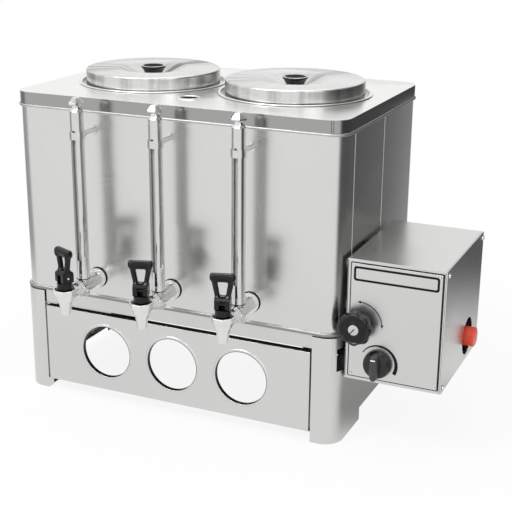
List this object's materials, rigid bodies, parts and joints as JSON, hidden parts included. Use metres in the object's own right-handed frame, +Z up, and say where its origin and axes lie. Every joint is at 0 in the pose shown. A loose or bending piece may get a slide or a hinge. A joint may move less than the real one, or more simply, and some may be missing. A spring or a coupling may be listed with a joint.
{
  "type": "coffee urn",
  "caption": "Gas-heated stainless coffee urn with lidded twin crocks in one tank, tap faucets under gauge tubes, a leg frame with an air-holed panel, and a side control box.",
  "frame": {"origin": "bottom centre of the whole urn's bounding box, on the surface that it stands on", "axes": "+Z up, -Y towards the person at the taps, +X towards the control box"},
  "size_m": [0.707, 0.4656, 0.5151],
  "materials": {
    "stainless": "satin",
    "stainless_bright": "polished satin",
    "galvanised": "dull",
    "chrome": "bright plated",
    "black_plastic": "gloss",
    "rubber": "matt",
    "stem_plastic": "satin",
    "glass": "clear",
    "cast_burner": "rough",
    "brass": "satin",
    "die_cast": "satin",
    "red_plastic": "satin"
  },
  "bodies": {
    "urn": {"tank_shell": "stainless", "tank_floor": "galvanised", "top_deck": "stainless_bright", "base_rail": "stainless", "left_crock": "stainless_bright", "right_crock": "stainless_bright", "front_left_leg": "stainless", "front_right_leg": "stainless", "rear_legs": "stainless", "left_panel": "stainless", "right_panel": "stainless", "rear_panel": "stainless", "burner": "cast_burner", "burner_straps": "stainless", "gas_pipe": "brass", "tap_gaskets": "rubber", "flange_nuts": "chrome", "lock_nuts": "chrome", "gauge_tees": "chrome", "wing_nuts": "chrome", "tap_bonnets": "black_plastic", "left_tap_cup": "chrome", "middle_tap_cup": "chrome", "right_tap_cup": "chrome", "left_tap_spring": "chrome", "middle_tap_spring": "chrome", "right_tap_spring": "chrome", "left_gauge_shield": "chrome", "middle_gauge_shield": "chrome", "right_gauge_shield": "chrome", "gauge_glasses": "glass", "gauge_caps": "chrome", "gauge_collars": "chrome", "box_housing": "stainless_bright", "box_cover": "stainless_bright", "box_fasteners": "chrome", "label_plate": "die_cast", "gas_cock": "brass", "thermostat": "die_cast", "gas_inlet": "brass"},
    "left_lid_body": {"left_lid": "stainless_bright", "left_lid_knob": "black_plastic", "left_knob_screw": "chrome"},
    "right_lid_body": {"right_lid": "stainless_bright", "right_lid_knob": "black_plastic", "right_knob_screw": "chrome"},
    "panel_body": {"front_panel": "stainless"},
    "cap_body": {"inlet_cap": "red_plastic"},
    "cock_body": {"cock_knob": "black_plastic", "cock_stem": "chrome"},
    "thermostat_knob_body": {"thermostat_knob": "black_plastic"},
    "left_stem_body": {"left_tap_stem": "stem_plastic", "left_handle_pin": "chrome"},
    "left_handle_body": {"left_tap_handle": "black_plastic"},
    "middle_stem_body": {"middle_tap_stem": "stem_plastic", "middle_handle_pin": "chrome"},
    "middle_handle_body": {"middle_tap_handle": "black_plastic"},
    "right_stem_body": {"right_tap_stem": "stem_plastic", "right_handle_pin": "chrome"},
    "right_handle_body": {"right_tap_handle": "black_plastic"}
  },
  "joints": [
    {"name": "left_lid_lift", "type": "slide", "parent": "urn", "child": "left_lid_body", "axis": [0, 0, 1], "range_m": [0, 0.15]},
    {"name": "right_lid_lift", "type": "slide", "parent": "urn", "child": "right_lid_body", "axis": [0, 0, 1], "range_m": [0, 0.15]},
    {"name": "front_panel_pull", "type": "slide", "parent": "urn", "child": "panel_body", "axis": [0, -1, 0], "range_m": [0, 0.15]},
    {"name": "inlet_cap_pull", "type": "slide", "parent": "urn", "child": "cap_body", "axis": [1, 0, 0], "range_m": [0, 0.05]},
    {"name": "gas_cock_turn", "type": "hinge", "parent": "urn", "child": "cock_body", "pos_m": [0.2155, -0.1307, 0.193], "axis": [0, 1, 0], "range_deg": [0, 90]},
    {"name": "thermostat_turn", "type": "hinge", "parent": "urn", "child": "thermostat_knob_body", "pos_m": [0.2465, -0.1307, 0.1375], "axis": [0, 1, 0], "range_deg": [0, 270]},
    {"name": "left_handle_tilt", "type": "hinge", "parent": "left_stem_body", "child": "left_handle_body", "pos_m": [-0.2109, -0.2148, 0.23595], "axis": [0.9135, -0.4067, 0], "range_deg": [0, 40], "stiffness_Nm_per_rad": 0.084, "springref_deg": -45.84},
    {"name": "left_stem_lift", "type": "slide", "parent": "urn", "child": "left_stem_body", "axis": [0, 0, 1], "range_m": [0, 0.0053], "deforming": ["left_tap_spring"]},
    {"name": "middle_handle_tilt", "type": "hinge", "parent": "middle_stem_body", "child": "middle_handle_body", "pos_m": [-0.0799, -0.2148, 0.23595], "axis": [0.9511, 0.309, 0], "range_deg": [0, 40], "stiffness_Nm_per_rad": 0.084, "springref_deg": -45.84},
    {"name": "middle_stem_lift", "type": "slide", "parent": "urn", "child": "middle_stem_body", "axis": [0, 0, 1], "range_m": [0, 0.0053], "deforming": ["middle_tap_spring"]},
    {"name": "right_handle_tilt", "type": "hinge", "parent": "right_stem_body", "child": "right_handle_body", "pos_m": [0.0511, -0.2148, 0.23595], "axis": [0.9613, 0.2756, 0], "range_deg": [0, 40], "stiffness_Nm_per_rad": 0.084, "springref_deg": -45.84},
    {"name": "right_stem_lift", "type": "slide", "parent": "urn", "child": "right_stem_body", "axis": [0, 0, 1], "range_m": [0, 0.0053], "deforming": ["right_tap_spring"]}
  ],
  "couplings": [
    {"joint": "left_stem_lift", "follows": "left_handle_tilt", "m_per_rad": 0.0075},
    {"joint": "middle_stem_lift", "follows": "middle_handle_tilt", "m_per_rad": 0.0075},
    {"joint": "right_stem_lift", "follows": "right_handle_tilt", "m_per_rad": 0.0075}
  ]
}
